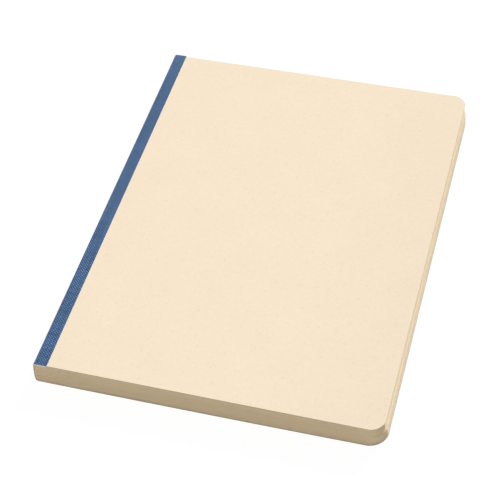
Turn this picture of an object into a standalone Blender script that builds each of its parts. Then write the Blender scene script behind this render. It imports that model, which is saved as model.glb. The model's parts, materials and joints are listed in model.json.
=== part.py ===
"""Softcover notebook with a cloth-taped spine: card covers, sewn sections of folded sheets.

The notebook lies closed on its back cover. X runs from the spine (-X) to the fore edge (+X),
Y from the tail (-Y) to the head (+Y), Z up through the front cover.
The origin is the middle of its footprint, on the surface that it lies on.
Run it with: blender --background --python part.py
"""

import math

import bmesh
import bpy
from mathutils import Vector

MM = 0.001

# Trimmed size. Widths are counted from the spine line, the plane that the spine bulges out of.
BOOK_HEIGHT = 210.0 * MM
FORE_EDGE = 155.6 * MM
FORE_EDGE_SLANT = 1.2 * MM
FORE_CORNER_RADIUS = 6.4 * MM
CORNER_STEPS = 5
TRIM_WASTE = 2.0 * MM

# Card and paper
COVER_THICKNESS = 0.45 * MM
COVER_GAP = 0.03 * MM
LEAF_THICKNESS = 0.105 * MM
LEAF_GAP = 0.015 * MM
FLYLEAF_GAP = 0.02 * MM
FLYLEAF_INSET = 0.5 * MM

# Sections of folded sheets, nested and sewn. They move in groups, between the opening lines.
SECTION_COUNT = 8
SECTIONS_PER_GROUP = 2
GROUP_COUNT = math.ceil(SECTION_COUNT / SECTIONS_PER_GROUP)
SHEETS_PER_SECTION = 5
SECTION_GAP = 0.02 * MM
FOLD_STEPS = 4

# Sewing
THREAD_DIAMETER = 0.18 * MM
THREAD_CLEARANCE = 0.03 * MM
STATION_COUNT = 4
END_STATION_MARGIN = 14.0 * MM
KERF_WIDTH = 2.0 * MM
KERF_PAST_FOLD = 0.08 * MM
STITCH_WIDTH = 1.2 * MM
STITCH_DEPTH = 0.25 * MM

# Spine lining and cloth tape
LINING_THICKNESS = 0.15 * MM
TAPE_THICKNESS = 0.20 * MM
GLUE_GAP = 0.02 * MM
TAPE_ON_COVER = 6.45 * MM
SPINE_BULGE = 0.15 * MM
SPINE_SLANT = 0.75 * MM
FRONT_ROUNDING = 0.4 * MM
BACK_ROUNDING = 0.9 * MM
SPINE_STEPS = 4
SEGMENT_GAP = 0.06 * MM

# The cloth creases on lines just outside the spine.
HINGE_STANDOFF = 0.15 * MM
OPENING_STANDOFF = 0.03 * MM

# Heights, from the surface up
centre_gap = THREAD_DIAMETER + 2 * THREAD_CLEARANCE
leaves_of_half = SHEETS_PER_SECTION * LEAF_THICKNESS + (SHEETS_PER_SECTION - 1) * LEAF_GAP
section_half = leaves_of_half + centre_gap / 2
section_pitch = 2 * section_half + SECTION_GAP
back_flyleaf_z = COVER_THICKNESS + COVER_GAP
block_bottom = back_flyleaf_z + LEAF_THICKNESS + FLYLEAF_GAP
block_top = block_bottom + SECTION_COUNT * section_pitch - SECTION_GAP
front_flyleaf_z = block_top + FLYLEAF_GAP
front_cover_z = front_flyleaf_z + LEAF_THICKNESS + COVER_GAP
book_thickness = front_cover_z + COVER_THICKNESS

# The spine outside the tape is three arcs that run into each other: back corner, bulge, front corner.
# All of it slants out towards the back cover, as the fore edge does.
lining_depth = TAPE_THICKNESS + GLUE_GAP
fold_depth = lining_depth + LINING_THICKNESS + GLUE_GAP
front_radius = fold_depth + section_half + FRONT_ROUNDING
back_radius = fold_depth + section_half + BACK_ROUNDING
arc_rise = book_thickness - front_radius - back_radius
rise_difference = 2 * SPINE_BULGE * (back_radius - front_radius) / arc_rise
front_rise = (arc_rise + rise_difference) / 2
back_rise = (arc_rise - rise_difference) / 2
bulge_radius = front_radius + (front_rise**2 + SPINE_BULGE**2) / (2 * SPINE_BULGE)
bulge_centre_x = bulge_radius - SPINE_BULGE
bulge_centre_z = back_radius + back_rise

parts = bpy.data.collections.new("softcover_notebook")
cutters = bpy.data.collections.new("cutters")
materials = {}
bodies = {}


def clear_scene():
    for old in list(bpy.data.objects):
        bpy.data.objects.remove(old, do_unlink=True)
    bpy.context.scene.collection.children.link(parts)
    bpy.context.scene.collection.children.link(cutters)


def make_material(name, colour, roughness):
    material = bpy.data.materials.new(name)
    material.use_nodes = True
    shader = material.node_tree.nodes["Principled BSDF"]
    shader.inputs["Base Color"].default_value = (*colour, 1.0)
    shader.inputs["Roughness"].default_value = roughness
    shader.inputs["Metallic"].default_value = 0.0
    materials[name] = material


def slant(z):
    """How far the spine is out at height z, on its slant."""
    return SPINE_SLANT * (book_thickness - z) / book_thickness


def spine_x(z, depth=0.0):
    """Distance from the spine line to the surface that lies depth inside the spine, at height z."""
    front_tangent = front_rise * (bulge_radius - depth) / (bulge_radius - front_radius)
    back_tangent = back_rise * (bulge_radius - depth) / (bulge_radius - back_radius)
    lift = z - bulge_centre_z
    if lift > front_tangent:
        centre_x, centre_z, radius = front_radius, book_thickness - front_radius, front_radius
    elif lift < -back_tangent:
        centre_x, centre_z, radius = back_radius, back_radius, back_radius
    else:
        centre_x, centre_z, radius = bulge_centre_x, bulge_centre_z, bulge_radius
    return centre_x - math.sqrt((radius - depth) ** 2 - (z - centre_z) ** 2) - slant(z)


# The spine line's place, so that the origin is under the middle of the notebook.
spine_reach = -min(spine_x(book_thickness * step / 200) for step in range(1, 200))
SPINE_X = (spine_reach - FORE_EDGE - FORE_EDGE_SLANT) / 2


def section_z(index):
    """Height of a section's centre fold. Section 0 lies under the front flyleaf."""
    return block_top - section_half - index * section_pitch


def fold_x(index):
    """Distance from the spine line to the centre that a section's folds turn about."""
    return spine_x(section_z(index), fold_depth + section_half)


def sections_of(group):
    first = group * SECTIONS_PER_GROUP
    return range(first, min(first + SECTIONS_PER_GROUP, SECTION_COUNT))


def opening_z(group):
    """Height of the line between a group of sections and the next one down."""
    return section_z(sections_of(group)[-1]) - section_half - SECTION_GAP / 2


def station_y(index):
    first = -BOOK_HEIGHT / 2 + END_STATION_MARGIN
    return first + index * (-2 * first) / (STATION_COUNT - 1)


def add_body(name, parent=None, point=(0.0, 0.0, 0.0)):
    """An empty on the crease that the body turns about, or at the origin for the body that stays."""
    pivot = bpy.data.objects.new("pivot_" + name, None)
    pivot.empty_display_size = 10 * MM
    parts.objects.link(pivot)
    pivot["point"] = point
    pivot.location = point
    if parent:
        pivot.parent = bodies[parent]
        pivot.location = Vector(point) - Vector(bodies[parent]["point"])
    bodies[name] = pivot


def crease(z, standoff):
    """A point on the line that the tape folds on, just outside the spine at height z."""
    return (SPINE_X + spine_x(z) - standoff, 0.0, z)


def place(piece, body, material):
    """Puts a piece made in the notebook's own frame on its body, with its origin on the crease."""
    parts.objects.link(piece)
    origin = Vector(bodies[body]["point"])
    for vertex in piece.data.vertices:
        vertex.co -= origin
    piece.parent = bodies[body]
    piece.data.materials.append(materials[material])


def box_mesh(name, low, high):
    """A box between two corners, its X counted from the spine line."""
    mesh = bpy.data.meshes.new(name)
    bm = bmesh.new()
    bmesh.ops.create_cube(bm, size=1.0)
    size = Vector(high) - Vector(low)
    middle = (Vector(high) + Vector(low)) / 2 + Vector((SPINE_X, 0, 0))
    bmesh.ops.scale(bm, vec=size, verts=bm.verts)
    bmesh.ops.translate(bm, vec=middle, verts=bm.verts)
    bm.to_mesh(mesh)
    bm.free()
    return mesh


def cutter(name, mesh):
    tool = bpy.data.objects.new(name, mesh)
    tool.hide_render = True
    tool.display_type = "WIRE"
    cutters.objects.link(tool)
    return tool


def combine(piece, tool, operation):
    modifier = piece.modifiers.new(tool.name, "BOOLEAN")
    modifier.operation = operation
    modifier.object = tool


def drawn_along_height(name, points, thickness):
    """A bent strip: a line of (x, z) points drawn from tail to head and given its thickness."""
    mesh = bpy.data.meshes.new(name)
    bm = bmesh.new()
    y = -BOOK_HEIGHT / 2 - TRIM_WASTE
    row = [bm.verts.new((SPINE_X + px, y, pz)) for px, pz in points]
    edges = [bm.edges.new(pair) for pair in zip(row, row[1:])]
    drawn = bmesh.ops.extrude_edge_only(bm, edges=edges)["geom"]
    far_row = [item for item in drawn if isinstance(item, bmesh.types.BMVert)]
    bmesh.ops.translate(bm, vec=(0, -2 * y, 0), verts=far_row)
    bm.to_mesh(mesh)
    bm.free()
    piece = bpy.data.objects.new(name, mesh)
    wall = piece.modifiers.new("thickness", "SOLIDIFY")
    wall.thickness = thickness
    wall.offset = 0.0
    wall.use_even_offset = True
    return piece


def trim_outline():
    """The trimmed outline seen from above: square at the spine, two round corners at the fore edge."""
    tail = -BOOK_HEIGHT / 2
    points = [(-spine_reach - TRIM_WASTE, tail)]
    for step in range(CORNER_STEPS + 1):
        angle = math.radians(90) * step / CORNER_STEPS
        x = FORE_EDGE - FORE_CORNER_RADIUS * (1 - math.sin(angle))
        y = tail + FORE_CORNER_RADIUS * (1 - math.cos(angle))
        points.append((x, y))
    return points + [(x, -y) for x, y in reversed(points)]


def make_trim():
    """The space that the guillotine and the corner knife leave: the fore edge slants out downwards."""
    mesh = bpy.data.meshes.new("trimmed_space")
    bm = bmesh.new()
    bottom = -TRIM_WASTE
    top = book_thickness + TRIM_WASTE
    floor = bm.faces.new([bm.verts.new((SPINE_X + x, y, bottom)) for x, y in trim_outline()])
    drawn = bmesh.ops.extrude_face_region(bm, geom=[floor])["geom"]
    upper = [item for item in drawn if isinstance(item, bmesh.types.BMVert)]
    bmesh.ops.translate(bm, vec=(0, 0, top - bottom), verts=upper)
    for vertex in bm.verts:
        vertex.co.x += FORE_EDGE_SLANT * (book_thickness - vertex.co.z) / book_thickness
    bmesh.ops.recalc_face_normals(bm, faces=bm.faces)
    bm.to_mesh(mesh)
    bm.free()
    return cutter("trimmed_space", mesh)


def make_kerfs(index):
    """The saw cuts across one section's folds, one at each sewing station."""
    mesh = bpy.data.meshes.new(f"kerfs_{index + 1}")
    bm = bmesh.new()
    fold = fold_x(index)
    low_x = fold - section_half - TRIM_WASTE
    high_x = fold - centre_gap / 2 + KERF_PAST_FOLD
    size = Vector((high_x - low_x, KERF_WIDTH, section_pitch))
    for station in range(STATION_COUNT):
        made = bmesh.ops.create_cube(bm, size=1.0)["verts"]
        middle = (SPINE_X + (low_x + high_x) / 2, station_y(station), section_z(index))
        bmesh.ops.scale(bm, vec=size, verts=made)
        bmesh.ops.translate(bm, vec=middle, verts=made)
    bm.to_mesh(mesh)
    bm.free()
    return cutter(f"kerfs_{index + 1}", mesh)


def make_cover(name, body, z, spine_edge, tape_z, trim):
    """A card cover, pressed down under the tape so that card and cloth end level."""
    half = BOOK_HEIGHT / 2 + TRIM_WASTE
    fore = FORE_EDGE + FORE_EDGE_SLANT + TRIM_WASTE
    cover = bpy.data.objects.new(
        name, box_mesh(name, (spine_edge, -half, z), (fore, half, z + COVER_THICKNESS))
    )
    bed = box_mesh(
        name + "_bed",
        (-TRIM_WASTE, -2 * half, tape_z - lining_depth),
        (TAPE_ON_COVER + GLUE_GAP, 2 * half, tape_z + lining_depth),
    )
    combine(cover, cutter(name + "_bed", bed), "DIFFERENCE")
    combine(cover, trim, "INTERSECT")
    place(cover, body, "card")


def make_flyleaf(name, body, z, spine_edge, trim):
    half = BOOK_HEIGHT / 2 + TRIM_WASTE
    fore = FORE_EDGE + FORE_EDGE_SLANT + TRIM_WASTE
    low = (spine_edge + FLYLEAF_INSET, -half, z)
    flyleaf = bpy.data.objects.new(name, box_mesh(name, low, (fore, half, z + LEAF_THICKNESS)))
    combine(flyleaf, trim, "INTERSECT")
    place(flyleaf, body, "paper")


def sheet_line(index, sheet):
    """The middle line of a folded sheet: out along one leaf, round the fold and back."""
    radius = section_half - LEAF_THICKNESS / 2 - sheet * (LEAF_THICKNESS + LEAF_GAP)
    fold = fold_x(index)
    middle = section_z(index)
    fore = FORE_EDGE + FORE_EDGE_SLANT + TRIM_WASTE
    points = [(fore, middle + radius)]
    for step in range(FOLD_STEPS + 1):
        angle = math.radians(90 + 180 * step / FOLD_STEPS)
        points.append((fold + radius * math.cos(angle), middle + radius * math.sin(angle)))
    return points + [(fore, middle - radius)]


def make_section(index, body, trim):
    kerfs = make_kerfs(index)
    for sheet in range(SHEETS_PER_SECTION):
        name = f"section_{index + 1}_sheet_{sheet + 1}"
        piece = drawn_along_height(name, sheet_line(index, sheet), LEAF_THICKNESS)
        combine(piece, trim, "INTERSECT")
        combine(piece, kerfs, "DIFFERENCE")
        place(piece, body, "paper")


def stitches(index, stations):
    """The thread's way along one section: inside the fold, out and in again at each station."""
    inside = fold_x(index)
    outside = inside - section_half + STITCH_DEPTH
    middle = section_z(index)
    turn = math.copysign(STITCH_WIDTH / 2, stations[-1] - stations[0])
    points = [(outside, stations[0], middle), (inside, stations[0] + turn, middle)]
    for y in stations[1:-1]:
        points += [
            (inside, y - turn, middle),
            (outside, y - turn / 2, middle),
            (outside, y + turn / 2, middle),
            (inside, y + turn, middle),
        ]
    return points + [(inside, stations[-1] - turn, middle), (outside, stations[-1], middle)]


def make_thread(group, body):
    """One group's length of the sewing thread, up one section and down the next."""
    points = []
    stations = [station_y(station) for station in range(STATION_COUNT)]
    for index in sections_of(group):
        points += stitches(index, stations)
        stations.reverse()
    name = f"sewing_thread_{group + 1}"
    curve = bpy.data.curves.new(name, "CURVE")
    curve.dimensions = "3D"
    curve.bevel_depth = THREAD_DIAMETER / 2
    curve.bevel_resolution = 1
    curve.resolution_u = 1
    curve.use_fill_caps = True
    spline = curve.splines.new("POLY")
    spline.points.add(len(points) - 1)
    origin = Vector(bodies[body]["point"])
    for point, (x, y, z) in zip(spline.points, points):
        point.co = (*(Vector((SPINE_X + x, y, z)) - origin), 1.0)
    thread = bpy.data.objects.new(name, curve)
    parts.objects.link(thread)
    thread.parent = bodies[body]
    curve.materials.append(materials["thread"])


def spine_line(low, high, depth):
    """Points up the spine between two heights, at a depth inside its outer surface."""
    heights = [low + (high - low) * step / SPINE_STEPS for step in range(SPINE_STEPS + 1)]
    return [(spine_x(z, depth), z) for z in heights]


def make_spine(group, body, trim):
    """The lining and the tape over one group of sections, parted at the creases."""
    high = opening_z(group - 1) if group else front_cover_z
    low = opening_z(group) if group < GROUP_COUNT - 1 else back_flyleaf_z
    tape_line = spine_line(low + SEGMENT_GAP / 2, high - SEGMENT_GAP / 2, TAPE_THICKNESS / 2)
    tape = drawn_along_height(f"spine_tape_{group + 1}", tape_line, TAPE_THICKNESS)
    combine(tape, trim, "INTERSECT")
    place(tape, body, "cloth")
    lining_high = min(high, section_z(0)) - SEGMENT_GAP / 2
    lining_low = max(low, section_z(SECTION_COUNT - 1)) + SEGMENT_GAP / 2
    depth = lining_depth + LINING_THICKNESS / 2
    lining_line = spine_line(lining_low, lining_high, depth)
    lining = drawn_along_height(f"spine_lining_{group + 1}", lining_line, LINING_THICKNESS)
    combine(lining, trim, "INTERSECT")
    place(lining, body, "lining")


def make_tape_strip(name, body, near, flat_z, radius, trim):
    """The tape's edge strip: round the corner from the crease, then flat on the cover."""
    depth = TAPE_THICKNESS / 2
    side = math.copysign(1.0, flat_z - near)
    flat = flat_z - side * depth
    heights = [near + (flat - near) * step / SPINE_STEPS for step in range(SPINE_STEPS)]
    points = [(spine_x(z, depth), z) for z in heights]
    points += [(radius - slant(flat_z), flat), (TAPE_ON_COVER, flat)]
    strip = drawn_along_height(name, points, TAPE_THICKNESS)
    combine(strip, trim, "INTERSECT")
    place(strip, body, "cloth")


def build():
    clear_scene()
    make_material("card", (0.92, 0.78, 0.60), 0.85)
    make_material("paper", (0.66, 0.53, 0.36), 0.9)
    make_material("cloth", (0.087, 0.147, 0.266), 0.8)
    make_material("lining", (0.75, 0.72, 0.65), 0.9)
    make_material("thread", (0.85, 0.82, 0.76), 0.7)
    trim = make_trim()

    names = []
    for group in range(GROUP_COUNT):
        sections = sections_of(group)
        names.append(f"sections_{sections[0] + 1}_{sections[-1] + 1}")
    add_body(names[-1])
    for group in range(GROUP_COUNT - 2, -1, -1):
        add_body(names[group], names[group + 1], crease(opening_z(group), OPENING_STANDOFF))
    front_crease = crease(front_cover_z - COVER_GAP / 2, HINGE_STANDOFF)
    add_body("front_flyleaf", names[0], front_crease)
    add_body("front_cover", names[0], front_crease)
    add_body("back_cover", names[-1], crease(back_flyleaf_z - COVER_GAP / 2, HINGE_STANDOFF))

    make_cover("front_cover", "front_cover", front_cover_z, front_radius, book_thickness, trim)
    make_cover("back_cover", "back_cover", 0.0, back_radius - slant(0.0), 0.0, trim)
    front_folds = fold_x(0) - section_half
    back_folds = fold_x(SECTION_COUNT - 1) - section_half
    make_flyleaf("front_flyleaf", "front_flyleaf", front_flyleaf_z, front_folds, trim)
    make_flyleaf("back_flyleaf", names[-1], back_flyleaf_z, back_folds, trim)
    for group, body in enumerate(names):
        for index in sections_of(group):
            make_section(index, body, trim)
        make_thread(group, body)
        make_spine(group, body, trim)
    near_front = front_cover_z + SEGMENT_GAP / 2
    near_back = COVER_THICKNESS - SEGMENT_GAP / 2
    make_tape_strip("tape_front_strip", "front_cover", near_front, book_thickness, front_radius, trim)
    make_tape_strip("tape_back_strip", "back_cover", near_back, 0.0, back_radius, trim)


build()
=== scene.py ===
"""Looks of the softcover notebook: card covers, trimmed leaves, woven spine tape, lining and thread.

Lengths are in metres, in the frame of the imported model: X runs from the spine to the fore edge,
Y from the tail to the head, and Z up from the surface that the notebook lies on.
"""

import json
import math
import random
from collections import namedtuple

import bpy
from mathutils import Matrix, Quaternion, Vector


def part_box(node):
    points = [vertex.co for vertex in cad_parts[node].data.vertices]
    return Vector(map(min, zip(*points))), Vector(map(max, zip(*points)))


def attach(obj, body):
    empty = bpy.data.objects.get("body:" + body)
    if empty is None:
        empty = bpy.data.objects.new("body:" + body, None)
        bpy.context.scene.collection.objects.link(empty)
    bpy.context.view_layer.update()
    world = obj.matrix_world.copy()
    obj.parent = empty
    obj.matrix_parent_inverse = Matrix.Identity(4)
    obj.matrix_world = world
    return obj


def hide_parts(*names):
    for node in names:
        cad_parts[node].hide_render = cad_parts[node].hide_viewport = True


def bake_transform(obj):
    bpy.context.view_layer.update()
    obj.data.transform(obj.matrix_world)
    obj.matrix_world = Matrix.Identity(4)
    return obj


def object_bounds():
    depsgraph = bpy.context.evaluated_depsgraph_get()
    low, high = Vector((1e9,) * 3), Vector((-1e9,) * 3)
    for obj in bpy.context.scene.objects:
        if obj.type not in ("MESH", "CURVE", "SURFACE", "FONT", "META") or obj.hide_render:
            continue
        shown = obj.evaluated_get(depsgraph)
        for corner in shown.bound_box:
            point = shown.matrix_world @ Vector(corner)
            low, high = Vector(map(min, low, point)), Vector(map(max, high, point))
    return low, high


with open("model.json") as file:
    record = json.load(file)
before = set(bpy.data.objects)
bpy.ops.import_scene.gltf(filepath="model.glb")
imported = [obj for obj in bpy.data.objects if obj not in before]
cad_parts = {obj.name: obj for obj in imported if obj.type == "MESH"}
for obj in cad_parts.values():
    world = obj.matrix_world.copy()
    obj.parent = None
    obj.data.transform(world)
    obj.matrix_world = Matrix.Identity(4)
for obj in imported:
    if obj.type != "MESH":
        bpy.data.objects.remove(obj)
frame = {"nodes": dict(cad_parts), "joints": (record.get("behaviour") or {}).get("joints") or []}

MM = 0.001
DEGREE = math.pi / 180
random.seed(48)

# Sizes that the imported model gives
cad_low, cad_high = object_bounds()
HALF_HEIGHT = cad_high.y
THICKNESS = cad_high.z
FORE_END = cad_high.x
FRONT_CARD_INNER_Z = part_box("front_cover")[0].z
BACK_CARD_INNER_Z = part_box("back_cover")[1].z
TAPE_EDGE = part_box("tape_front_strip")[1].x
flyleaf_low, flyleaf_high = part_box("front_flyleaf")
LEAF_THICKNESS = flyleaf_high.z - flyleaf_low.z
BLOCK_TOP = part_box("section_1_sheet_1")[1].z
BLOCK_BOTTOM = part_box("section_8_sheet_1")[0].z
creases = {joint["name"]: Vector(joint["pos_m"]) for joint in frame["joints"]}

# Leaves of the block
SECTION_COUNT = 8
SECTIONS_PER_GROUP = 2
SHEETS_PER_SECTION = 5
LEAVES_PER_SECTION = 2 * SHEETS_PER_SECTION
LEAF_COUNT = SECTION_COUNT * LEAVES_PER_SECTION
STATION_COUNT = 4
END_STATION_MARGIN = 14.0 * MM
KERF_WIDTH = 2.0 * MM

# Trimmed fore edge and corners, with heights as shares of the book's thickness
FORE_EDGE_SLANT = 1.2 * MM
FORE_STEP_SHARE = 0.60
FORE_STEP_LOW = 0.53
FORE_STEP_HIGH = 0.68
FRONT_CORNER_RADIUS = 7.9 * MM
BACK_CORNER_RADIUS = 8.7 * MM
FRONT_OVERSHOOT = 0.36 * MM
BACK_OVERSHOOT = 0.05 * MM

# Spine and tape
TAPE_ON_COVER = 6.45 * MM
SPINE_LINE = TAPE_EDGE - TAPE_ON_COVER
SPINE_BULGE = 0.15 * MM
SPINE_SLANT = 0.75 * MM
FRONT_RADIUS = 1.495 * MM
BACK_RADIUS = 1.995 * MM
TAPE_THICKNESS = 0.20 * MM
GLUE_GAP = 0.02 * MM
CLOTH_FURTHER = 0.08 * MM
CLOTH_EDGE = TAPE_EDGE + CLOTH_FURTHER
TAPE_PROUD = 0.16 * MM

# The tape's cut ends stand out past the front cover, fading out between two shares of the thickness
TAPE_OVERHANG = 0.45 * MM
OVERHANG_FROM = 0.80
OVERHANG_TO = 0.98

# The tape's pieces, from the front: the joint that each one bends over, and what it is modelled as
TapePiece = namedtuple("TapePiece", "name joint nodes")
TAPE_PIECES = [
    TapePiece("tape_front_turn", "front_cover_hinge", ["tape_front_strip"]),
    TapePiece("tape_front_sections", "front_sections_fan", ["spine_tape_1"]),
    TapePiece("tape_middle", "middle_opening", ["spine_tape_2"]),
    TapePiece("tape_back_sections", "back_sections_fan", ["spine_tape_3"]),
    TapePiece("tape_back_turn", "back_cover_hinge", ["spine_tape_4", "tape_back_strip"]),
]

# Give of real paper and card. It grows towards the fore edge by this power of the way across.
GIVE_POWER = 3
FORE_LIFT = 0.85 * MM
FORE_SPREAD = 0.9 * MM
SPREAD_SHARE = 0.22
LEAF_EASE = 22.0 * MM
LEAF_UNEVENNESS = 0.02 * MM
FOLD_SQUARENESS = 2.6
FORE_INSET = 0.35 * MM
INSET_DEPTH = 0.30
END_INSET = 0.06 * MM
FLYLEAF_BEND = 3.5 * MM
CARD_ROUNDING = 0.07 * MM
FRONT_CARD_TUCK = 0.65 * MM
BACK_CARD_TUCK = 0.85 * MM

# Slow waves in the loose part of the leaves: height, the way that turns a wave by a radian, and start
Wave = namedtuple("Wave", "height up across along start")
FINE_WAVE = Wave(0.012 * MM, up=0.23 * MM, across=31 * MM, along=47 * MM, start=0.0)
BROAD_WAVE = Wave(0.022 * MM, up=0.61 * MM, across=-53 * MM, along=29 * MM, start=2.0)
LOOSE_FROM_SPINE = 30 * MM

# Uneven cut of the tape's ends: depth, and the ways that turn its two waves by a radian
CUT_UNEVENNESS = 0.05 * MM
CUT_FINE = 0.31 * MM
CUT_BROAD = 0.83 * MM
CUT_BROAD_START = 1.0

# How finely the shapes are cut
CORNER_STEPS = 14
FOLD_STEPS = 10
LEAF_STEPS = 11
BEND_STEPS = 10
TUCK_STEPS = 5
EDGE_ROWS = 12
CORNER_ROW = 0.985
TAPE_STEP = 0.28 * MM
LEAST_ARC_STEPS = 4
TAPE_FLAT_STEPS = 12
TAPE_ROWS = 42
SHARP_FROM = 40 * DEGREE
ROUNDED_FROM = 60 * DEGREE
ROUNDING_SEGMENTS = 2

# Where in its pattern a piece starts and how far apart its faces lie, so that no two look the same
FACES_APART = 0.5
BACK_CARD_START = 1.0
FLYLEAF_START = 20.0
SHEETS_START = 1.0
SHEET_SHIFT = 0.37

# Colours
CARD = (0.905, 0.765, 0.580)
CARD_CUT = (0.54, 0.425, 0.29)
# The back card's cut edges are painted darker than the front's: painted shade from the table
CARD_CUT_SHADED = (0.40, 0.315, 0.225)
PAGE = (0.84, 0.72, 0.54)
PAGE_CUT = (0.86, 0.68, 0.43)
# Painted shade on the leaves' cut edges, where the fore edge sticks out most and next to the table
PAGE_CUT_SHADED = (0.68, 0.585, 0.415)
FIBRE_PALE = (0.97, 0.89, 0.76)
FIBRE_BROWN = (0.52, 0.37, 0.23)
CLOTH_WARP = (0.019, 0.063, 0.154)
CLOTH_WEFT = (0.130, 0.256, 0.480)
# Painted shade for the hollows between the threads
CLOTH_HOLLOW_SHADE = (0.010, 0.028, 0.075)
CLOTH_CUT = (0.92, 0.90, 0.89)
CLOTH_FRAYED = (0.46, 0.435, 0.435)
BACKING = (0.72, 0.68, 0.60)
GAUZE = (0.80, 0.77, 0.70)
# Painted shade for the hollows of the gauze
GAUZE_HOLLOW_SHADE = (0.52, 0.47, 0.38)
THREAD = (0.84, 0.80, 0.72)
# Painted shade for the grooves between the thread's plies
THREAD_GROOVE_SHADE = (0.55, 0.50, 0.42)

# Surfaces, their patterns in millimetres. Noise mostly lies in its core, and seldom leaves its span.
NOISE_CORE = (0.3, 0.7)
NOISE_SPAN = (0.25, 0.75)
SPECULAR = 0.25
CARD_ROUGHNESS = 0.85
PAGE_ROUGHNESS = 0.9
CUT_ROUGHNESS = 0.9
BACKING_ROUGHNESS = 0.8
LINEN_ROUGHNESS = 0.75

# Recycled stock: its unevenness at three scales, and three kinds of fibre in it
Mottle = namedtuple("Mottle", "pitch detail swing")
Uneven = namedtuple("Uneven", "noise swing")
CLOUD = Mottle(22.0, 3.0, 0.014)
FELT = Mottle(2.2, 4.0, 0.019)
GRAIN = Mottle(0.35, 2.0, 0.010)
Fibre = namedtuple("Fibre", "spacing length width strength colour")
PALE_FIBRES = Fibre(2.6, 2.0, 0.26, 0.35, FIBRE_PALE)
BROWN_FIBRES = Fibre(4.7, 2.3, 0.34, 0.16, FIBRE_BROWN)
SPECKS = Fibre(7.5, 1.3, 0.80, 0.17, FIBRE_BROWN)
FIBRE_CORE = 0.5
CARD_FIBRES = 0.75
PAGE_FIBRES = 0.45
SPECK_RARITY = 0.8
SHEET_ROUGHNESS = (0.78, 0.90)
SHEET_RELIEF = 0.008
FIBRE_RELIEF = 0.25
GRAIN_RELIEF = 0.35

# The covers are painted a little darker towards the fore edge: painted shade, where the light falls off
FORE_EDGE_SHADE_TONE = 0.965
FORE_EDGE_SHADE_FROM = 25.0
FORE_EDGE_SHADE_TO = 78.0

# Cut edges: lines of leaves and of layers, with painted shade where the fore edge sticks out most and
# near the table
LEAF_LINES = (60.0, 60.0, 0.16)
LAYER_LINES = (90.0, 90.0, 1.3)
LAYER_SHARE = 0.6
EDGE_CLOUD = Mottle(9.0, 3.0, 0.02)
EDGE_GRAIN = Mottle(0.22, 2.0, 0.035)
EDGE_RELIEF = 0.02
CARD_EDGE_SWING = 0.03
PAGE_EDGE_SWING = 0.09
# Painted shade where the fore edge sticks out most, low on the block
SHADED_FORE_DEPTH = 0.35
SHADED_FORE_FADE = 0.2
# Painted contact shade along the bottom of the cut edges, next to the table
CONTACT_SHADE_HEIGHT = 1.0
CONTACT_SHADE_FADE = 0.4

# Woven stuffs: pitch from thread to thread, colours, with painted shade for the hollows, relief and
# roughness
Weave = namedtuple("Weave", "pitch warp weft deep relief roughness")
CLOTH_WEAVE = Weave(0.70, CLOTH_WARP, CLOTH_WEFT, CLOTH_HOLLOW_SHADE, 0.10, 0.8)
GAUZE_WEAVE = Weave(0.9, GAUZE, GAUZE, GAUZE_HOLLOW_SHADE, 0.05, 0.85)
THREAD_LOW = 0.15
THREAD_SHOWN = 0.7
THREAD_TONE_PITCH = 1.1
THREAD_TONE_RUN = 40.0
WARP_SWING = 0.20
WEFT_SWING = 0.26
BLOTCHES = Mottle(1.5, 2.0, 0.20)
HANDLING = Mottle(14.0, 2.0, 0.04)
HANDLING_STRETCH = (1.0, 3.0, 1.0)
FLUFF = Mottle(0.16, 2.0, 0.10)
DEEP_ROUGHER = 0.1
SHEEN = 0.12
SHEEN_ROUGHNESS = 0.5

# Tape ends and backing
FRAYED_DEPTH = 0.22
FRAYED_FADE = 0.1
FRAYED_PITCH = 0.3
FRAYED_SWING = 0.12
CLOTH_CUT_GRAIN = Mottle(0.25, 2.0, 0.12)
CLOTH_CUT_RELIEF = 0.03
DRIED_GLUE = Mottle(3.0, 3.0, 0.06)
BACKING_GRAIN = Mottle(0.4, 2.0, 0.04)

# Twist of the sewing thread
TWIST_SCALE = 2.2
TWIST_DISTORTION = 0.6
TWIST_RELIEF = 0.02

# Seen from the right of the tail, from above
CAMERA_TARGET = Vector((-2.84, -19.58, 12.63)) * MM
CAMERA_DISTANCE = 662.5 * MM
CAMERA_AZIMUTH = 17.98 * DEGREE
CAMERA_ELEVATION = 48.18 * DEGREE
CAMERA_ROLL = -3.74 * DEGREE
CAMERA_LENS = 102.9
SENSOR_WIDTH = 36.0
NEAREST_SEEN = 0.01
FURTHEST_SEEN = 20.0

# White studio: a key lamp beyond the head, a weak and broad fill off the tail, sky and floor
Lamp = namedtuple("Lamp", "name azimuth elevation angle strength")
KEY = Lamp("key", 162 * DEGREE, 32 * DEGREE, 12 * DEGREE, 3.22)
FILL = Lamp("fill", -35 * DEGREE, 20 * DEGREE, 50 * DEGREE, 0.69)
SKY_COLOUR = (1.0, 1.0, 1.0)
SKY_STRENGTH = 0.40
BACKDROP = (1.0, 1.0, 1.0)
FLOOR_SIZE = 6.0
FLOOR_GAP = 0.02 * MM
FLOOR_BOUNCE = (0.62, 0.62, 0.62)
FLOOR_SHADED = (0.07, 0.07, 0.07)
FLOOR_GLOW = 0.955


def smooth(share):
    """Eases from 0 to 1."""
    share = max(0.0, min(1.0, share))
    return share * share * (3 - 2 * share)


# The trimmed block

def across(x):
    """0 at the spine line, and 1 where the fore edge reaches out furthest."""
    return max(0.0, (x - SPINE_LINE) / (FORE_END - SPINE_LINE))


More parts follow.
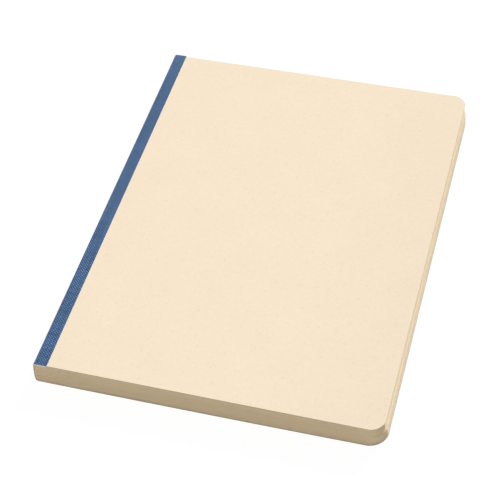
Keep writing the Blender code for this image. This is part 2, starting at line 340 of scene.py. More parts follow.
def fore_edge(z):
    """Down from the front cover the fore edge is upright, steps out half way, and then slants."""
    up = z / THICKNESS
    step = smooth((up - FORE_STEP_LOW) / (FORE_STEP_HIGH - FORE_STEP_LOW))
    slant = min(1.0, up / FORE_STEP_LOW)
    return FORE_END - FORE_EDGE_SLANT * (FORE_STEP_SHARE * step + (1 - FORE_STEP_SHARE) * slant)


def corner_cut(z):
    """Radius of the corner cutter's arc, how far its circle reaches past the edges, and its first turn.

    The cutter leant, so that it took more off the lower leaves.
    """
    up = z / THICKNESS
    radius = BACK_CORNER_RADIUS + (FRONT_CORNER_RADIUS - BACK_CORNER_RADIUS) * up
    overshoot = BACK_OVERSHOOT + (FRONT_OVERSHOOT - BACK_OVERSHOOT) * up
    return radius, overshoot, math.acos(1 - overshoot / radius)


def corner_reach(z):
    """How far in from the fore edge a corner starts."""
    radius, overshoot, turn = corner_cut(z)
    return radius * (1 - math.sin(turn)) - overshoot


def corner_steps(z):
    """The way in from the fore edge, and the loss of half height, at each step round a corner."""
    radius, overshoot, turn = corner_cut(z)
    for step in range(CORNER_STEPS + 1):
        angle = turn + (90 * DEGREE - 2 * turn) * (1 - step / CORNER_STEPS)
        yield radius * (1 - math.cos(angle)) - overshoot, radius * (1 - math.sin(angle)) - overshoot


def slanted(x, z):
    """A point of the upright spine, moved out by the spine's slant towards the back cover."""
    return Vector((x - SPINE_SLANT * (THICKNESS - z) / THICKNESS, z))


def lifted(x, y, z):
    """The book is thinner at its fore edge, where the back cover stands a little off the table."""
    return z + FORE_LIFT * across(x) ** GIVE_POWER * (1 - z / THICKNESS)


def loosened(x, y, z):
    """Towards the fore edge the upper leaves part and the lower ones crowd, all in slow waves."""
    up = max(0.0, (z - BLOCK_BOTTOM) / (BLOCK_TOP - BLOCK_BOTTOM))
    loose = smooth((x - SPINE_LINE) / LOOSE_FROM_SPINE)
    heights = []
    for wave in (FINE_WAVE, BROAD_WAVE):
        turn = z / wave.up + x / wave.across + y / wave.along + wave.start
        heights.append(wave.height * math.sin(turn))
    fullness = min(up / (1 - SPREAD_SHARE), (1 - up) / SPREAD_SHARE)
    spread = FORE_SPREAD * across(x) ** GIVE_POWER * fullness
    return lifted(x, y, z) - spread + loose * sum(heights)


# Meshes

# A pair of points of a sheet, its half height there, and how far along the pattern it lies
Column = namedtuple("Column", "outer inner half along")


def slab(name, columns, shares, materials, shape=None, cut=None):
    """A thin sheet, closed all round, from columns of paired points swept from tail to head.

    A share says how far along its half height a row lies. shape moves a point's height, and cut
    leaves out cells. The materials are the outer face's, the inner face's and the rim's.
    """
    points = []
    places = []
    found = {}

    def point(column, row, side):
        key = (column, row, side)
        if key not in found:
            x, z = columns[column][side]
            y = shares[row] * columns[column].half
            found[key] = len(points)
            points.append((x, y, shape(x, y, z) if shape else z))
            places.extend((columns[column].along, y, side * FACES_APART))
        return found[key]

    def kept(column, row):
        inside = 0 <= column < len(columns) - 1 and 0 <= row < len(shares) - 1
        return inside and not (cut and cut(column, row))

    sheets = []
    rim = []
    for column in range(len(columns) - 1):
        for row in range(len(shares) - 1):
            if not kept(column, row):
                continue
            ring = [(column, row), (column + 1, row), (column + 1, row + 1), (column, row + 1)]
            sheets.append([point(*at, 0) for at in ring])
            sheets.append([point(*at, 1) for at in reversed(ring)])
            beside = [(column, row - 1), (column + 1, row), (column, row + 1), (column - 1, row)]
            for cell, first, second in zip(beside, ring, ring[1:] + ring[:1]):
                if not kept(*cell):
                    around = (*second, 0), (*first, 0), (*first, 1), (*second, 1)
                    rim.append([point(*at) for at in around])
    mesh = bpy.data.meshes.new(name)
    mesh.from_pydata(points, [], sheets + rim)
    mesh.attributes.new("along", "FLOAT_VECTOR", "POINT").data.foreach_set("vector", places)
    for material in materials:
        mesh.materials.append(material)
    slots = [0, 1] * (len(sheets) // 2) + [2] * len(rim)
    mesh.polygons.foreach_set("material_index", slots)
    mesh.shade_smooth()
    mesh.set_sharp_from_angle(angle=SHARP_FROM)
    piece = bpy.data.objects.new(name, mesh)
    bpy.context.scene.collection.objects.link(piece)
    return piece


def even_shares(count):
    """Rows from tail to head, evenly apart."""
    return [2 * row / count - 1 for row in range(count + 1)]


def leaf_shares():
    """Rows of a cover or a leaf, with one close to each corner, where its rim turns."""
    return sorted(even_shares(EDGE_ROWS) + [-CORNER_ROW, CORNER_ROW])


def paired(line, halves, thickness, start):
    """Columns either side of a middle line of (x, z) points, outer to its left."""
    columns = []
    along = start
    for index, (x, z) in enumerate(line):
        before = line[max(index - 1, 0)]
        after = line[min(index + 1, len(line) - 1)]
        run = Vector((after[0] - before[0], after[1] - before[1])).normalized()
        side = Vector((-run.y, run.x)) * thickness / 2
        if index:
            along += math.dist(line[index - 1], (x, z))
        outer = (x + side.x, z + side.y)
        inner = (x - side.x, z - side.y)
        columns.append(Column(outer, inner, halves[index], along))
    return columns


# Shader nodes

def new_material(name, roughness):
    """A material, its nodes and its surface."""
    material = bpy.data.materials.new(name)
    material.use_nodes = True
    tree = material.node_tree
    shader = tree.nodes["Principled BSDF"]
    shader.inputs["Roughness"].default_value = roughness
    shader.inputs["Specular IOR Level"].default_value = SPECULAR
    return material, tree, shader


def put(tree, socket, value):
    """Sets an input, or links it to another node's output."""
    if isinstance(value, bpy.types.NodeSocket):
        tree.links.new(value, socket)
    else:
        socket.default_value = value


def maths(tree, operation, *values):
    """Calculates with numbers or with other nodes' outputs."""
    node = tree.nodes.new("ShaderNodeMath")
    node.operation = operation
    for socket, value in zip(node.inputs, values):
        put(tree, socket, value)
    return node.outputs[0]


def vector_math(tree, operation, first, second=None, scale=None):
    """Calculates in the same way with places and colours."""
    node = tree.nodes.new("ShaderNodeVectorMath")
    node.operation = operation
    put(tree, node.inputs[0], first)
    if second is not None:
        put(tree, node.inputs[1], second)
    if scale is not None:
        put(tree, node.inputs["Scale"], scale)
    return node.outputs["Value" if operation == "LENGTH" else "Vector"]


def parted(tree, place):
    """The X, Y and Z of a place."""
    node = tree.nodes.new("ShaderNodeSeparateXYZ")
    put(tree, node.inputs[0], place)
    return node.outputs


def place_along(tree):
    """Where a point lies along its own sheet, so that a pattern bends with it."""
    source = tree.nodes.new("ShaderNodeAttribute")
    source.attribute_name = "along"
    return vector_math(tree, "SCALE", source.outputs["Vector"], scale=1 / MM)


def place_in_block(tree):
    """Where a point lies in the closed notebook."""
    source = tree.nodes.new("ShaderNodeTexCoord")
    return vector_math(tree, "SCALE", source.outputs["Object"], scale=1 / MM)


def place_on_spine(tree):
    """Where a point lies on the spine: up it, then along it."""
    part = parted(tree, place_in_block(tree))
    joined = tree.nodes.new("ShaderNodeCombineXYZ")
    put(tree, joined.inputs[0], part[2])
    put(tree, joined.inputs[1], part[1])
    return joined.outputs[0]


def fitted(tree, value, low, high, to_low=0.0, to_high=1.0):
    """Takes low..high to another range and stops at its ends."""
    node = tree.nodes.new("ShaderNodeMapRange")
    for socket, given in zip(node.inputs, (value, low, high, to_low, to_high)):
        put(tree, socket, given)
    return node.outputs[0]


def noise(tree, place, pitch, stretch=(1.0, 1.0, 1.0), detail=2.0):
    """Smooth noise from 0 to 1 whose grains are about pitch across, times the stretch."""
    sizes = tuple(1 / (pitch * part) for part in stretch)
    node = tree.nodes.new("ShaderNodeTexNoise")
    node.inputs["Scale"].default_value = 1.0
    node.inputs["Detail"].default_value = detail
    put(tree, node.inputs["Vector"], vector_math(tree, "MULTIPLY", place, sizes))
    return node.outputs["Fac"]


def mottled(tree, place, mottle, stretch=(1.0, 1.0, 1.0)):
    """A mottle's noise, with its swing beside it."""
    return Uneven(noise(tree, place, mottle.pitch, stretch, mottle.detail), mottle.swing)


def varied(tree, *parts):
    """1, plus each (noise, swing) pair's swing either side of it."""
    total = 1.0
    for value, swing in parts:
        total = maths(tree, "ADD", total, fitted(tree, value, *NOISE_SPAN, -swing, swing))
    return total


def mixed(tree, share, first, second):
    node = tree.nodes.new("ShaderNodeMix")
    node.data_type = "RGBA"
    put(tree, node.inputs[0], share)
    for socket, colour in zip((node.inputs[6], node.inputs[7]), (first, second)):
        put(tree, socket, colour if isinstance(colour, bpy.types.NodeSocket) else (*colour, 1.0))
    return node.outputs[2]


def toned(tree, colour, tone):
    """A colour times a tone near 1."""
    return vector_math(tree, "SCALE", colour, scale=tone)


def bumped(tree, shader, height, depth):
    """Height from 0 to 1 as a bump that many millimetres deep."""
    node = tree.nodes.new("ShaderNodeBump")
    node.inputs["Distance"].default_value = depth * MM
    node.inputs["Strength"].default_value = 1.0
    put(tree, node.inputs["Height"], height)
    tree.links.new(node.outputs["Normal"], shader.inputs["Normal"])


# Card and paper

def fibres(tree, place, kind, share):
    """Short fibres over a sheet, in that share of its cells, each lying its own way: 1 on a fibre."""
    cells = tree.nodes.new("ShaderNodeTexVoronoi")
    cells.voronoi_dimensions = "2D"
    cells.inputs["Scale"].default_value = 1 / kind.spacing
    put(tree, cells.inputs["Vector"], place)
    chance = tree.nodes.new("ShaderNodeSeparateColor")
    put(tree, chance.inputs[0], cells.outputs["Color"])
    offset = vector_math(tree, "SUBTRACT", place, cells.outputs["Position"])
    flat = vector_math(tree, "MULTIPLY", offset, (1.0, 1.0, 0.0))
    turn = tree.nodes.new("ShaderNodeVectorRotate")
    turn.rotation_type = "Z_AXIS"
    put(tree, turn.inputs["Vector"], flat)
    put(tree, turn.inputs["Angle"], maths(tree, "MULTIPLY", chance.outputs[0], math.pi))
    reach = vector_math(tree, "MULTIPLY", turn.outputs[0], (2 / kind.length, 2 / kind.width, 0.0))
    inside = fitted(tree, vector_math(tree, "LENGTH", reach), FIBRE_CORE, 1.0, 1.0, 0.0)
    return maths(tree, "MULTIPLY", inside, maths(tree, "LESS_THAN", chance.outputs[1], share))


def sheet_finish(tree, shader, colour, fibre_share, shade_tone=1.0):
    """Recycled stock: cloudy, felted, with pale and brown fibres in it, times a tone of painted shade."""
    place = place_along(tree)
    cloud = mottled(tree, place, CLOUD)
    felt = mottled(tree, place, FELT)
    grain = mottled(tree, place, GRAIN)
    pale = fibres(tree, place, PALE_FIBRES, fibre_share)
    brown = fibres(tree, place, BROWN_FIBRES, fibre_share)
    specks = fibres(tree, place, SPECKS, fibre_share * SPECK_RARITY)
    surface = toned(tree, colour, maths(tree, "MULTIPLY", shade_tone, varied(tree, cloud, felt, grain)))
    for scattered, kind in ((pale, PALE_FIBRES), (brown, BROWN_FIBRES), (specks, SPECKS)):
        surface = mixed(tree, maths(tree, "MULTIPLY", scattered, kind.strength), surface, kind.colour)
    put(tree, shader.inputs["Base Color"], surface)
    put(tree, shader.inputs["Roughness"], fitted(tree, felt.noise, *NOISE_CORE, *SHEET_ROUGHNESS))
    raised = maths(tree, "ADD", felt.noise, maths(tree, "MULTIPLY", pale, FIBRE_RELIEF))
    raised = maths(tree, "ADD", raised, maths(tree, "MULTIPLY", grain.noise, GRAIN_RELIEF))
    bumped(tree, shader, raised, SHEET_RELIEF)


def card_material():
    material, tree, shader = new_material("card", CARD_ROUGHNESS)
    x = parted(tree, place_in_block(tree))[0]
    # Painted shade: the card darkens towards the fore edge
    sheet_finish(tree, shader, CARD, CARD_FIBRES, fitted(tree, x, FORE_EDGE_SHADE_FROM, FORE_EDGE_SHADE_TO, 1.0, FORE_EDGE_SHADE_TONE))
    return material


def page_material():
    material, tree, shader = new_material("page", PAGE_ROUGHNESS)
    sheet_finish(tree, shader, PAGE, PAGE_FIBRES)
    return material


def cut_edge_material(name, colour, shade_colour, swing):
    """Edges left by the guillotine, with torn fibre ends, and painted shade where they stick out most and
    near the table.
    """
    material, tree, shader = new_material(name, CUT_ROUGHNESS)
    place = place_in_block(tree)
    x, _, z = parted(tree, place)
    fully_shaded_at = FORE_END / MM - SHADED_FORE_DEPTH
    # Painted shade where the fore edge sticks out most, low on the block
    at_fore_edge = fitted(tree, x, fully_shaded_at - SHADED_FORE_FADE, fully_shaded_at)
    out = fitted(tree, x, SPINE_LINE / MM, FORE_END / MM)
    lift = maths(tree, "MULTIPLY", maths(tree, "POWER", out, GIVE_POWER), FORE_LIFT / MM)
    height = maths(tree, "SUBTRACT", z, lift)
    # Painted contact shade on the lowest millimetre of the edges, next to the table
    near_table = fitted(tree, height, CONTACT_SHADE_HEIGHT, CONTACT_SHADE_HEIGHT + CONTACT_SHADE_FADE, 1.0, 0.0)
    painted_shade = maths(tree, "MAXIMUM", at_fore_edge, near_table)
    leaves = noise(tree, place, 1.0, LEAF_LINES)
    layers = noise(tree, place, 1.0, LAYER_LINES, detail=1.0)
    cloud = mottled(tree, place, EDGE_CLOUD)
    grain = mottled(tree, place, EDGE_GRAIN)
    tone = varied(tree, (leaves, swing), (layers, swing * LAYER_SHARE), cloud, grain)
    put(tree, shader.inputs["Base Color"], toned(tree, mixed(tree, painted_shade, colour, shade_colour), tone))
    bumped(tree, shader, grain.noise, EDGE_RELIEF)
    return material


# Cloth, gauze and thread

def weave(tree, place, pitch):
    """Plain weave: its height from 0 to 1, 1 where the warp is on top, and the tones of warp and weft."""
    x, y, _ = parted(tree, vector_math(tree, "SCALE", place, scale=1 / pitch))

    def ridge(value):
        """Round thread: 1 along its middle and 0 at its sides."""
        return maths(tree, "SINE", maths(tree, "MULTIPLY", maths(tree, "FRACT", value), math.pi))

    def rise(value, number, sign):
        """How high a thread rides at this place on its way over and under."""
        phase = maths(tree, "MULTIPLY", maths(tree, "SUBTRACT", value, number), math.pi)
        return fitted(tree, maths(tree, "SINE", phase), -sign, sign, THREAD_LOW, 1.0)

    warp = maths(tree, "MULTIPLY", ridge(x), rise(y, maths(tree, "FLOOR", x), 1.0))
    weft = maths(tree, "MULTIPLY", ridge(y), rise(x, maths(tree, "FLOOR", y), -1.0))
    tone_pitch = pitch * THREAD_TONE_PITCH
    warp_tone = noise(tree, place, tone_pitch, (1.0, THREAD_TONE_RUN, 1.0), detail=1.0)
    weft_tone = noise(tree, place, tone_pitch, (THREAD_TONE_RUN, 1.0, 1.0), detail=1.0)
    on_top = maths(tree, "GREATER_THAN", warp, weft)
    height = maths(tree, "MAXIMUM", warp, weft)
    return height, on_top, warp_tone, weft_tone


def frayed_ends(tree, place):
    """1 where the threads' pale core shows at the tape's two cut ends."""
    ragged = noise(tree, place, FRAYED_PITCH, detail=1.0)
    swing = fitted(tree, ragged, *NOISE_CORE, -FRAYED_SWING, FRAYED_SWING)
    up = maths(tree, "ADD", maths(tree, "ABSOLUTE", parted(tree, place)[1]), swing)
    end = (HALF_HEIGHT + TAPE_OVERHANG) / MM - FRAYED_DEPTH
    return fitted(tree, up, end - FRAYED_FADE, end + FRAYED_FADE)


def woven_material(name, place_of, kind, frayed=False):
    material, tree, shader = new_material(name, kind.roughness)
    place = place_of(tree)
    height, on_top, warp_tone, weft_tone = weave(tree, place, kind.pitch)
    threads = mixed(tree, on_top, kind.weft, kind.warp)
    # The hollows between the threads take the dark colour: painted shade
    shaded = mixed(tree, fitted(tree, height, THREAD_LOW, THREAD_SHOWN), kind.deep, threads)
    blotches = mottled(tree, place, BLOTCHES)
    handling = mottled(tree, place, HANDLING, HANDLING_STRETCH)
    fluff = mottled(tree, place, FLUFF)
    threads_tone = varied(tree, (warp_tone, WARP_SWING), (weft_tone, WEFT_SWING), blotches)
    surface = toned(tree, shaded, maths(tree, "MULTIPLY", threads_tone, varied(tree, handling, fluff)))
    if frayed:
        surface = mixed(tree, frayed_ends(tree, place), surface, CLOTH_FRAYED)
    put(tree, shader.inputs["Base Color"], surface)
    roughness = fitted(tree, height, 0.0, 1.0, kind.roughness + DEEP_ROUGHER, kind.roughness)
    put(tree, shader.inputs["Roughness"], roughness)
    shader.inputs["Sheen Weight"].default_value = SHEEN
    shader.inputs["Sheen Roughness"].default_value = SHEEN_ROUGHNESS
    bumped(tree, shader, height, kind.relief)
    return material


def backing_material():
    """The paper that backs the cloth, mottled with dried glue."""
    material, tree, shader = new_material("cloth_backing", BACKING_ROUGHNESS)
    place = place_along(tree)
    tone = varied(tree, mottled(tree, place, DRIED_GLUE), mottled(tree, place, BACKING_GRAIN))
    put(tree, shader.inputs["Base Color"], toned(tree, BACKING, tone))
    return material


def cloth_cut_material():
    """The tape's cut ends show the undyed core of its threads and its paper backing."""
    material, tree, shader = new_material("cloth_cut", CUT_ROUGHNESS)
    ends = mottled(tree, place_in_block(tree), CLOTH_CUT_GRAIN)
    put(tree, shader.inputs["Base Color"], toned(tree, CLOTH_CUT, varied(tree, ends)))
    bumped(tree, shader, ends.noise, CLOTH_CUT_RELIEF)
    return material


def thread_material():
    """Linen sewing thread, its plies twisted round each other, with painted shade in the grooves between
    them.
    """
    material, tree, shader = new_material("linen_thread", LINEN_ROUGHNESS)
    twist = tree.nodes.new("ShaderNodeTexWave")
    twist.bands_direction = "DIAGONAL"
    twist.inputs["Scale"].default_value = TWIST_SCALE
    twist.inputs["Distortion"].default_value = TWIST_DISTORTION
    put(tree, twist.inputs["Vector"], place_in_block(tree))
    # The grooves of the twist take the dark colour: painted shade
    put(tree, shader.inputs["Base Color"], mixed(tree, twist.outputs["Fac"], THREAD_GROOVE_SHADE, THREAD))
    bumped(tree, shader, twist.outputs["Fac"], TWIST_RELIEF)
    return material


card = card_material()
card_cut = cut_edge_material("card_cut", CARD_CUT, CARD_CUT, CARD_EDGE_SWING)
# The back card's edges take a darker colour: painted shade from the table
card_cut_shaded = cut_edge_material("card_cut_shaded", CARD_CUT_SHADED, CARD_CUT_SHADED, CARD_EDGE_SWING)
page = page_material()
# The page edges take the painted shade colour where they stick out most and near the table
page_cut = cut_edge_material("page_cut", PAGE_CUT, PAGE_CUT_SHADED, PAGE_EDGE_SWING)
cloth = woven_material("cloth", place_along, CLOTH_WEAVE, frayed=True)
backing = backing_material()
cloth_cut = cloth_cut_material()
gauze = woven_material("gauze", place_on_spine, GAUZE_WEAVE)
linen = thread_material()


# Covers

def flat_columns(top, bottom, start, zero, recess=0.0, bend=0.0):
    """Columns of a flat sheet from its start to its trimmed fore edge, close together in its bend.

    Its pattern starts at zero, and recess is how far it stands back from the fore edge.
    """
    middle = (top + bottom) / 2
    top_end = fore_edge(top) - recess
    bottom_end = fore_edge(bottom) - recess
    flat_end = top_end - corner_reach(middle)
    places = [start + bend * step / BEND_STEPS for step in range(BEND_STEPS)] if bend else []
    places += [start + bend + (flat_end - start - bend) * step / LEAF_STEPS for step in range(LEAF_STEPS)]
    columns = [Column((x, top), (x, bottom), HALF_HEIGHT, x - zero) for x in places]
    for inset, loss in corner_steps(middle):
        outer = (top_end - inset, top)
        inner = (bottom_end - inset, bottom)
        columns.append(Column(outer, inner, HALF_HEIGHT - loss, outer[0] - zero))
    return columns


def tucked_line(radius, tuck, height_of):
    """The outer face of a cover under the tape, where it thins round the spine's corner."""
    depth = TAPE_THICKNESS + GLUE_GAP
    centre = slanted(SPINE_LINE + radius, height_of(0.0)).x
    line = []
    for step in range(TUCK_STEPS + 1):
        out = tuck * (1 - step / TUCK_STEPS)
        drop = radius - math.sqrt((radius - depth) ** 2 - out**2)
        line.append((centre - out, height_of(drop)))
    return line + [(CLOTH_EDGE + GLUE_GAP, height_of(depth))]


def make_front_card():
    inner_z = FRONT_CARD_INNER_Z
    tucked = tucked_line(FRONT_RADIUS, FRONT_CARD_TUCK, lambda drop: THICKNESS - drop)
    columns = [Column((x, z), (x, inner_z), HALF_HEIGHT, x) for x, z in tucked]
    columns += flat_columns(THICKNESS, inner_z, CLOTH_EDGE + 2 * GLUE_GAP, 0.0)
    return slab("front_card", columns, leaf_shares(), [card, card, card_cut], lifted)


def make_back_card():
    inner_z = BACK_CARD_INNER_Z
    tucked = tucked_line(BACK_RADIUS, BACK_CARD_TUCK, lambda drop: drop)
    columns = [Column((x, inner_z), (x, z), HALF_HEIGHT, x + BACK_CARD_START) for x, z in tucked]
    columns += flat_columns(inner_z, 0.0, CLOTH_EDGE + 2 * GLUE_GAP, -BACK_CARD_START)
    return slab("back_card", columns, leaf_shares(), [card, card, card_cut_shaded], lifted)


def make_covers():
    for piece, body in ((make_front_card(), "front_cover"), (make_back_card(), "back_cover")):
        rounding = piece.modifiers.new("rounded_edges", "BEVEL")
        rounding.width = CARD_ROUNDING
        rounding.segments = ROUNDING_SEGMENTS
        rounding.limit_method = "ANGLE"
        rounding.angle_limit = ROUNDED_FROM
        rounding.harden_normals = True
        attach(piece, body)
        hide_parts(body)


# Leaves

def body_of(section):
    """The body that a section moves with, the sections counted from 0 at the front."""
    first = section - section % SECTIONS_PER_GROUP + 1
    return f"sections_{first}_{first + SECTIONS_PER_GROUP - 1}"


def station_shares():
    """Where the sewing stations lie."""
    first = HALF_HEIGHT - END_STATION_MARGIN
    places = [first * (2 * station / (STATION_COUNT - 1) - 1) for station in range(STATION_COUNT)]
    return [place / HALF_HEIGHT for place in places]


def sheet_shares():
    """Rows of a sewn sheet, with a row at each side of every saw cut."""
    kerf = KERF_WIDTH / 2 / HALF_HEIGHT
    sides = [share + side * kerf for share in station_shares() for side in (-1, 1)]
    return sorted(leaf_shares() + sides)


def leaf_inset(z):
    """The uppermost leaves stand back a little from the front cover's edge."""
    up = (z - BLOCK_BOTTOM) / (BLOCK_TOP - BLOCK_BOTTOM)
    return FORE_INSET * smooth(1 - (1 - up) / INSET_DEPTH)


def leaf_line(fold, spine_z, even_z, reach):
    """A leaf's line out from the fold to the fore edge, with its loss of half height at each point."""
    points = []
    end = fore_edge(even_z) - leaf_inset(even_z) + reach
    corner = end - corner_reach(even_z)
    for step in range(1, LEAF_STEPS):
        x = fold + (corner - fold) * (step / LEAF_STEPS) ** 2
        ease = smooth((x - fold) / LEAF_EASE)
        points.append((x, spine_z + (even_z - spine_z) * ease, 0.0))
    for inset, loss in corner_steps(even_z):
        points.append((end - inset, even_z, loss))
    return points


def fold_line(fold, middle, radius):
    """Round the fold from the lower leaf to the upper one, a little squared by pressing."""
    points = []
    power = 2 / FOLD_SQUARENESS
    for step in range(FOLD_STEPS + 1):
        angle = math.pi * (step / FOLD_STEPS - 0.5)
        x = fold - radius * abs(math.cos(angle)) ** power
        z = middle + radius * math.copysign(abs(math.sin(angle)) ** power, angle)
        points.append((x, z))
    return points


def even_height(number):
    """Height of a leaf where the leaves lie evenly, counted from the top."""
    return BLOCK_TOP - (number + 0.5) * (BLOCK_TOP - BLOCK_BOTTOM) / LEAF_COUNT


def make_sheet(section, sheet):
    """A sheet folded once into two leaves, its fold sawn through at each sewing station."""
    node = f"section_{section + 1}_sheet_{sheet + 1}"
    low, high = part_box(node)
    outer_low, outer_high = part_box(f"section_{section + 1}_sheet_1")
    middle = (low.z + high.z) / 2
    fold = outer_low.x + (outer_high.z - outer_low.z) / 2
    radius = (high.z - low.z - LEAF_THICKNESS) / 2
    first = section * LEAVES_PER_SECTION
    upper_z = even_height(first + sheet)
    lower_z = even_height(first + LEAVES_PER_SECTION - 1 - sheet)
    reach = [random.uniform(-1, 1) * LEAF_UNEVENNESS for leaf in range(2)]
    height = [random.uniform(-1, 1) * LEAF_UNEVENNESS for leaf in range(2)]
    lower = leaf_line(fold, middle - radius, lower_z, reach[0])[::-1]
    upper = leaf_line(fold, middle + radius, upper_z, reach[1])
    turn = fold_line(fold, middle, radius)
    line = [(x, z) for x, z, loss in lower] + turn + [(x, z) for x, z, loss in upper]
    end = HALF_HEIGHT - END_INSET
    halves = [end + height[0] - loss for x, z, loss in lower]
    halves += [end + (height[0] + height[1]) / 2] * len(turn)
    halves += [end + height[1] - loss for x, z, loss in upper]
    start = SHEETS_START + section + sheet * SHEET_SHIFT
    columns = paired(line, halves, LEAF_THICKNESS, start)
    shares = sheet_shares()
    sawn_columns = range(len(lower) + 1, len(lower) + FOLD_STEPS - 1)
    stations = station_shares()
    kerf = KERF_WIDTH / 2 / HALF_HEIGHT

    def sawn(column, row):
        middle_share = (shares[row] + shares[row + 1]) / 2
        return column in sawn_columns and any(abs(middle_share - at) < kerf for at in stations)

    name = f"folded_sheet_{section + 1}_{sheet + 1}"
    piece = slab(name, columns, shares, [page, page, page_cut], loosened, sawn)
    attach(piece, body_of(section))
    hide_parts(node)


def make_sections():
    for section in range(SECTION_COUNT):
        for sheet in range(SHEETS_PER_SECTION):
            make_sheet(section, sheet)


def make_flyleaves():
    """Single leaves tipped on to the block: the front one bends where it leaves its strip of glue."""
    for name in ("front_flyleaf", "back_flyleaf"):
        low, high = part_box(name)
        zero = low.x - FLYLEAF_START - high.z
        columns = flat_columns(high.z, low.z, low.x, zero, leaf_inset(high.z), FLYLEAF_BEND)
        piece = slab(name + "_leaf", columns, leaf_shares(), [page, page, page_cut], loosened)
        if name == "front_flyleaf":
            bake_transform(piece)
        else:
            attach(piece, "sections_7_8")
        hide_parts(name)


# Spine tape

def bulge_arc():
    """Centre, radius and end angles of the arc that joins the two corners of the spine."""
    rise = THICKNESS - FRONT_RADIUS - BACK_RADIUS
    difference = 2 * SPINE_BULGE * (BACK_RADIUS - FRONT_RADIUS) / rise
    front_rise = (rise + difference) / 2
    back_rise = (rise - difference) / 2
    radius = FRONT_RADIUS + (front_rise**2 + SPINE_BULGE**2) / (2 * SPINE_BULGE)
    centre = Vector((SPINE_LINE - SPINE_BULGE + radius, BACK_RADIUS + back_rise))
    front_angle = math.asin(front_rise / (radius - FRONT_RADIUS))
    back_angle = -math.asin(back_rise / (radius - BACK_RADIUS))
    return centre, radius, back_angle, front_angle


def arc_line(centre, radius, start, end, swell=0.0):
    """Outer and inner points of the tape round an arc, from one angle up to another."""
    steps = max(LEAST_ARC_STEPS, math.ceil(radius * abs(end - start) / TAPE_STEP))
    line = []
    for step in range(steps + 1):
        angle = start + (end - start) * step / steps
        way = Vector((-math.cos(angle), math.sin(angle)))
        outer = centre + way * (radius + swell * smooth(step / steps))
        inner = centre + way * (radius - TAPE_THICKNESS)
        line.append((slanted(*outer), slanted(*inner)))
    return line


def flat_line(start, end, outer_z, inner_z):
    """Outer and inner points of the tape flat on a cover."""
    line = []
    for step in range(TAPE_FLAT_STEPS + 1):
        x = start + (end - start) * step / TAPE_FLAT_STEPS
        line.append((Vector((x, outer_z)), Vector((x, inner_z))))
    return line


def tape_lines(levels):
    """The tape's lines from its back edge to its front edge, parted half way between the creases."""
    centre, radius, back_angle, front_angle = bulge_arc()
    meetings = [(high + low) / 2 for high, low in zip(levels, levels[1:])]
    angles = [math.asin((level - centre.y) / radius) for level in meetings]

    back_centre = Vector((SPINE_LINE + BACK_RADIUS, BACK_RADIUS))
    back_line = flat_line(CLOTH_EDGE, slanted(back_centre.x, 0.0).x, 0.0, TAPE_THICKNESS)
    back_line += arc_line(back_centre, BACK_RADIUS, -90 * DEGREE, back_angle)[1:]
    back_line += arc_line(centre, radius, back_angle, angles[-1])[1:]
    lines = [back_line]
    for lower, upper in zip(angles[::-1], angles[-2::-1]):
        lines.append(arc_line(centre, radius, lower, upper))

    front_centre = Vector((SPINE_LINE + FRONT_RADIUS, THICKNESS - FRONT_RADIUS))
    front_line = arc_line(centre, radius, angles[0], front_angle)
    front_line += arc_line(front_centre, FRONT_RADIUS, front_angle, 90 * DEGREE, TAPE_PROUD)[1:]
    tape_top = THICKNESS + TAPE_PROUD
    front_line += flat_line(front_centre.x, CLOTH_EDGE, tape_top, THICKNESS - TAPE_THICKNESS)[1:]
    lines.append(front_line)
    return lines


def overhang(z):
    """The tape's cut ends stand out past the front cover, and are flush from there down."""
    return TAPE_OVERHANG * smooth((z / THICKNESS - OVERHANG_FROM) / (OVERHANG_TO - OVERHANG_FROM))


def tape_columns(line, start):
    """Columns of the tape, a little uneven where it was cut to length."""
    columns = []
    along = start
    for index, (outer, inner) in enumerate(line):
        if index:
            along += (outer - line[index - 1][0]).length
        fray = math.sin(along / CUT_FINE) + math.sin(along / CUT_BROAD + CUT_BROAD_START)
        half = HALF_HEIGHT + overhang(outer.y) + CUT_UNEVENNESS * fray / 2
        columns.append(Column(tuple(outer), tuple(inner), half, along))
    return columns


def make_tape():
    """One strip of cloth in five pieces, each bending over one crease and meeting between them."""
    lines = tape_lines([creases[kind.joint].z for kind in TAPE_PIECES])
    along = 0.0
    for crease, line in zip(reversed(range(len(lines))), lines):
        columns = tape_columns(line, along)
        along = columns[-1].along
        kind = TAPE_PIECES[crease]
        piece = slab(kind.name, columns, even_shares(TAPE_ROWS), [cloth, backing, cloth_cut])
        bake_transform(piece)
        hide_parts(*kind.nodes)


# Lining and sewing, kept as modelled

def finish_hidden_parts():
    for group in range(SECTION_COUNT // SECTIONS_PER_GROUP):
        frame["nodes"][f"spine_lining_{group + 1}"].material_slots[0].material = gauze
        frame["nodes"][f"sewing_thread_{group + 1}"].material_slots[0].material = linen


# Studio

def direction(azimuth, elevation):
    """The way to something seen from the notebook. Azimuth 0 is off the tail, 90 off the fore edge."""
    flat = math.cos(elevation)
    return Vector((math.sin(azimuth) * flat, -math.cos(azimuth) * flat, math.sin(elevation)))


def make_camera():
    data = bpy.data.cameras.new("camera")
    data.lens = CAMERA_LENS
    data.sensor_width = SENSOR_WIDTH
    data.clip_start = NEAREST_SEEN
    data.clip_end = FURTHEST_SEEN
    camera = bpy.data.objects.new("camera", data)
    back = direction(CAMERA_AZIMUTH, CAMERA_ELEVATION)
    camera.location = CAMERA_TARGET + back * CAMERA_DISTANCE
    camera.rotation_mode = "QUATERNION"
    upright = (-back).to_track_quat("-Z", "Y")
    camera.rotation_quaternion = upright @ Quaternion((0, 0, 1), CAMERA_ROLL)
    bpy.context.scene.collection.objects.link(camera)
    bpy.context.scene.camera = camera


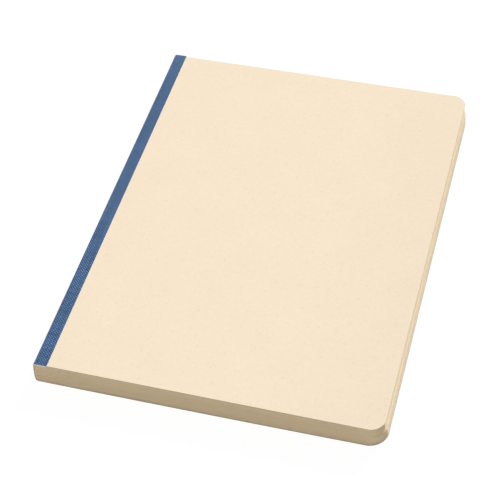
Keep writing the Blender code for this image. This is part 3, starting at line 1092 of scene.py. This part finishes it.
def make_lamp(kind):
    """A broad far lamp."""
    way = direction(kind.azimuth, kind.elevation)
    data = bpy.data.lights.new(kind.name, "SUN")
    data.angle = kind.angle
    data.energy = kind.strength
    lamp = bpy.data.objects.new(kind.name, data)
    lamp.location = way
    lamp.rotation_mode = "QUATERNION"
    lamp.rotation_quaternion = (-way).to_track_quat("-Z", "Y")
    bpy.context.scene.collection.objects.link(lamp)


def seen_share(tree):
    """1 for rays that only look at a thing, from the camera, in a gloss or through glass."""
    path = tree.nodes.new("ShaderNodeLightPath")
    glossy = maths(tree, "MAXIMUM", path.outputs["Is Glossy Ray"], path.outputs["Is Transmission Ray"])
    return maths(tree, "MAXIMUM", path.outputs["Is Camera Ray"], glossy)


def chosen_by_ray(tree, lighting, seen, output):
    """Lets a thing light the notebook in one way and be seen in another."""
    choice = tree.nodes.new("ShaderNodeMixShader")
    put(tree, choice.inputs[0], seen_share(tree))
    tree.links.new(lighting.outputs[0], choice.inputs[1])
    tree.links.new(seen.outputs[0], choice.inputs[2])
    tree.links.new(choice.outputs[0], tree.nodes[output].inputs[0])


def make_world():
    world = bpy.data.worlds.new("studio")
    bpy.context.scene.world = world
    world.use_nodes = True
    tree = world.node_tree
    lighting = tree.nodes["Background"]
    lighting.inputs["Color"].default_value = (*SKY_COLOUR, 1.0)
    lighting.inputs["Strength"].default_value = SKY_STRENGTH
    backdrop = tree.nodes.new("ShaderNodeBackground")
    backdrop.inputs["Color"].default_value = (*BACKDROP, 1.0)
    backdrop.inputs["Strength"].default_value = 1.0
    chosen_by_ray(tree, lighting, backdrop, "World Output")


def make_floor():
    """A white floor that keeps a faint shadow."""
    bpy.ops.mesh.primitive_plane_add(size=FLOOR_SIZE, location=(0, 0, -FLOOR_GAP))
    floor = bpy.context.object
    floor.name = "floor"
    material = bpy.data.materials.new("floor_white")
    material.use_nodes = True
    tree = material.node_tree
    tree.nodes.remove(tree.nodes["Principled BSDF"])
    bounce = tree.nodes.new("ShaderNodeBsdfDiffuse")
    bounce.inputs["Color"].default_value = (*FLOOR_BOUNCE, 1.0)
    shadowed = tree.nodes.new("ShaderNodeBsdfDiffuse")
    shadowed.inputs["Color"].default_value = (*FLOOR_SHADED, 1.0)
    glow = tree.nodes.new("ShaderNodeEmission")
    glow.inputs["Strength"].default_value = FLOOR_GLOW
    shown = tree.nodes.new("ShaderNodeAddShader")
    tree.links.new(shadowed.outputs[0], shown.inputs[0])
    tree.links.new(glow.outputs[0], shown.inputs[1])
    chosen_by_ray(tree, bounce, shown, "Material Output")
    floor.data.materials.append(material)


make_camera()
make_world()
make_floor()
make_lamp(KEY)
make_lamp(FILL)
make_covers()
make_flyleaves()
make_sections()
make_tape()
finish_hidden_parts()

bpy.context.scene.view_settings.view_transform = "Standard"
